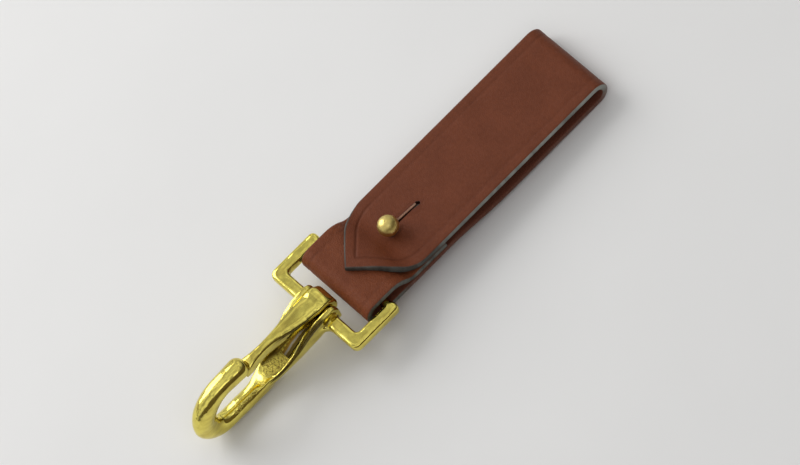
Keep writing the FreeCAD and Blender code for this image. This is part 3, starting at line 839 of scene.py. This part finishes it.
colour = tint(tree, rescale(tree, haze, 0.45, 1.0), BRASS_DULL, BRASS)
patina = fade(tree, noise(tree, stretch(tree, place, PATINA_STRETCH), 0.42, 3.0), 0.42, 0.7)
colour = tint(tree, times(tree, patina, 0.5), colour, BRASS_BROWN)
colour = tint(tree, times(tree, raw, 0.35), colour, BRASS_DULL)
# Hollows darken: polish residue, and painted shade where corners and recesses fall in shadow.
residue_and_painted_shade = times(tree, fade(tree, kept(tree, "hollow"), 0.004, 0.032), rescale(tree, haze, 0.95, 0.6))
pits_residue_and_shade = calc(tree, "MAXIMUM", residue_and_painted_shade, times(tree, raw_pits, 0.8))
colour = tint(tree, pits_residue_and_shade, colour, BRASS_DARK)
# Painted reflections: the rim and lever bands turn nearly black, as if mirroring dark surroundings.
colour = tint(tree, times(tree, painted_dark_reflections, rescale(tree, haze, 1.0, 0.88)), colour, PAINTED_REFLECTION_BLACK)
tree.links.new(colour, shader.inputs["Base Color"])
rough = calc(tree, "ADD", rescale(tree, haze, 0.15, 0.08), times(tree, calc(tree, "MAXIMUM", raw, residue_and_painted_shade), 0.3))
tree.links.new(rough, shader.inputs["Roughness"])
cast_height = calc(tree, "SUBTRACT", times(tree, skin_node.outputs["Roll"], 6.0), times(tree, raw_pits, 1.7))
relief_from(tree, shader, cast_height, strength=0.6, distance=0.00012)
shader.inputs["Metallic"].default_value = 1
casting.data.materials.append(cast_brass)
gate.data.materials.append(cast_brass)
print("cast brass:", len(tree.nodes), "nodes")

# %% [markdown]
# ## Turned brass and spring steel
# The stud, its screw and the pin are turned, so fine tool rings run round their axes. The spring is rolled
# steel with its grain along the strip, and painted brown shade, darker to one side, leaves a lighter line along
# its middle. The pin and the spring are shown as the solids that they are, so they only get a finish.

# %% Turned brass
TURNED_DULL, TURNED_BRIGHT = (0.66, 0.51, 0.16, 1), (0.80, 0.66, 0.24, 1)
RING_RADIANS_PER_MM = 26.0
PIN_CENTRE = (0, -27.7, 13.6)


def turned_finish(name, centre, flat_axes, along_axis):
    """Satin brass with fine tool rings round an axis through centre, in millimetres."""
    made, tree, shader = material(name)
    place = add(tree, "ShaderNodeVectorMath", {0: object_mm(tree), 1: centre},
                operation="SUBTRACT").outputs["Vector"]
    axes = split_axes(tree, place)
    haze = add(tree, "ShaderNodeGroup", {"Place": place}, node_tree=skin).outputs["Haze"]
    squares = [times(tree, axes[axis], axes[axis]) for axis in flat_axes]
    radius = calc(tree, "SQRT", calc(tree, "ADD", *squares))
    feed = calc(tree, "SUBTRACT", radius, axes[along_axis])
    rings = rescale(tree, calc(tree, "SINE", times(tree, feed, RING_RADIANS_PER_MM)), 0.5, 1.0)
    uneven = times(tree, rings, haze)
    tree.links.new(tint(tree, haze, TURNED_DULL, TURNED_BRIGHT), shader.inputs["Base Color"])
    tree.links.new(rescale(tree, uneven, 0.38, 0.27), shader.inputs["Roughness"])
    relief_from(tree, shader, uneven, strength=0.7, distance=0.000025)
    shader.inputs["Metallic"].default_value = 1
    print(name, len(tree.nodes), "nodes")
    return made


stud_brass = turned_finish("stud_brass_finish", (0, STUD_Y, BALL_Z), ("X", "Y"), "Z")
stud.data.materials.append(stud_brass)
screw.data.materials.append(stud_brass)
pin_solid = nodes["gate_pin"]
pin_solid.data.materials.clear()
pin_solid.data.materials.append(turned_finish("pin_brass_finish", PIN_CENTRE, ("Y", "Z"), "X"))

# %% Spring steel
STEEL_DARK, STEEL_LIGHT = (0.07, 0.06, 0.047, 1), (0.19, 0.168, 0.115, 1)
PAINTED_SHADE_BROWN, PAINTED_SHADE_DARK = (0.125, 0.072, 0.009, 1), (0.05, 0.034, 0.007, 1)
STREAK_STRETCH = (9, 0.35, 0.35)
LINE_ACROSS, LINE_RAGGED = (-0.35, 0.1), 0.25

spring_steel, tree, shader = material("spring_steel_finish")
place = object_mm(tree)
streaks = noise(tree, stretch(tree, place, STREAK_STRETCH), 1.0, 4.0, 0.6)
ragged = rescale(tree, noise(tree, place, 0.5, 4.0, 0.6), -LINE_RAGGED, LINE_RAGGED)
across = calc(tree, "ADD", split_axes(tree, place)["X"], ragged)
# Painted shade: brown, darker to one side, over all of the spring except a lighter line along its middle.
painted_spring_shade = tint(tree, fade(tree, across, 0.1, 0.6), PAINTED_SHADE_BROWN, PAINTED_SHADE_DARK)
line = tint(tree, streaks, STEEL_DARK, STEEL_LIGHT)
tree.links.new(tint(tree, inside(tree, across, *LINE_ACROSS, 0.3), painted_spring_shade, line), shader.inputs["Base Color"])
tree.links.new(rescale(tree, streaks, 0.5, 0.38), shader.inputs["Roughness"])
relief_from(tree, shader, streaks, strength=0.3, distance=0.00002)
shader.inputs["Metallic"].default_value = 1
spring_solid = nodes["gate_spring"]
spring_solid.data.materials.clear()
spring_solid.data.materials.append(spring_steel)
print("spring steel:", len(tree.nodes), "nodes")

# %% [markdown]
# ## Table and light
# The clip lies on a pale table: the hook's spine and the far end of the strap's back touch it, so the table
# tilts by about two degrees against the strap. The room is a light tent: bright on the left, dim on the
# right, which gives the polished brass something pale and something dark to mirror. A soft lamp on each side
# adds the shadows, and a dark card on the right, which only mirrors show, draws the dark lines that a
# photographer gives to polished metal.

# %% Table
REST_LOW, REST_HIGH = Vector((0, -0.0539, 0)), Vector((0, 0.0768, 0.0052))
TABLE_SIZE = 3
TABLE_DARK, TABLE_LIGHT = (0.78, 0.775, 0.765, 1), (0.82, 0.815, 0.805, 1)
tilt = math.atan2(REST_HIGH.z - REST_LOW.z, REST_HIGH.y - REST_LOW.y)
bm = bmesh.new()
bmesh.ops.create_grid(bm, x_segments=1, y_segments=1, size=TABLE_SIZE)
bmesh.ops.rotate(bm, verts=bm.verts[:], cent=(0, 0, 0), matrix=Matrix.Rotation(tilt, 3, "X"))
bmesh.ops.translate(bm, verts=bm.verts[:], vec=REST_LOW)
table = link("table", bm)
table_finish, tree, shader = material("table_finish")
speck = noise(tree, object_mm(tree), 0.02, 3.0)
tree.links.new(tint(tree, speck, TABLE_DARK, TABLE_LIGHT), shader.inputs["Base Color"])
shader.inputs["Roughness"].default_value = 0.85
table.data.materials.append(table_finish)
print("table tilted by", round(math.degrees(tilt), 2), "degrees")

# %% Room
KEY_SIDE = Vector((-0.5, -0.25, 0.83)).normalized()
TENT_FADE, TENT_DIM, TENT_BRIGHT = (-0.2, 0.65), 0.04, 0.8
PANEL_DIM, PANEL_BRIGHT = 0.5, 1.16
world = bpy.data.worlds.new("room")
bpy.context.scene.world = world
world.use_nodes = True
room = world.node_tree
background = room.nodes["Background"]
direction = add(room, "ShaderNodeTexCoord").outputs["Generated"]
towards_key = add(room, "ShaderNodeVectorMath", {0: direction, 1: KEY_SIDE},
                  operation="DOT_PRODUCT").outputs["Value"]
tent = rescale(room, fade(room, towards_key, *TENT_FADE), TENT_DIM, TENT_BRIGHT)
panels = rescale(room, fade(room, noise(room, direction, 3.2, 1.0), 0.35, 0.65), PANEL_DIM, PANEL_BRIGHT)
room.links.new(times(room, tent, panels), background.inputs["Strength"])
background.inputs["Color"].default_value = (1, 1, 1, 1)
bpy.context.scene.view_settings.view_transform = "Standard"
print("room:", len(room.nodes), "nodes")

# %% Lamps and dark card
CARD_SIZE, CARD_NARROW, CARD_PLACE = 0.9, 0.13, (0.2, 0, 0.13)
CARD_DARK, CARD_LIGHT = (0.07, 0.05, 0.03, 1), (0.12, 0.09, 0.055, 1)


def soft_lamp(name, place, size, watts):
    """A square area lamp that looks at the clip."""
    data = bpy.data.lights.new(name, "AREA")
    data.energy = watts
    data.size = size
    lamp = bpy.data.objects.new(name, data)
    place = Vector(place)
    lamp.matrix_world = Matrix.Translation(place) @ place.to_track_quat("Z", "Y").to_matrix().to_4x4()
    bpy.context.scene.collection.objects.link(lamp)
    print(name, watts, "watts")


soft_lamp("left_lamp", (-0.72, -0.3, 0.5), size=0.7, watts=5.5)
soft_lamp("right_lamp", (0.6, -0.2, 0.7), size=0.5, watts=0.6)
bm = bmesh.new()
bmesh.ops.create_grid(bm, x_segments=1, y_segments=1, size=CARD_SIZE)
bmesh.ops.scale(bm, vec=(CARD_NARROW, 1, 1), verts=bm.verts[:])
bmesh.ops.rotate(bm, verts=bm.verts[:], cent=(0, 0, 0), matrix=Matrix.Rotation(math.radians(90), 3, "Y"))
bmesh.ops.translate(bm, verts=bm.verts[:], vec=CARD_PLACE)
card = link("dark_card", bm)
card_finish, tree, shader = material("card_finish")
shade = noise(tree, object_mm(tree), 0.01, 2.0)
tree.links.new(tint(tree, shade, CARD_DARK, CARD_LIGHT), shader.inputs["Base Color"])
shader.inputs["Roughness"].default_value = 0.9
card.data.materials.append(card_finish)
card.visible_camera = card.visible_diffuse = card.visible_shadow = False
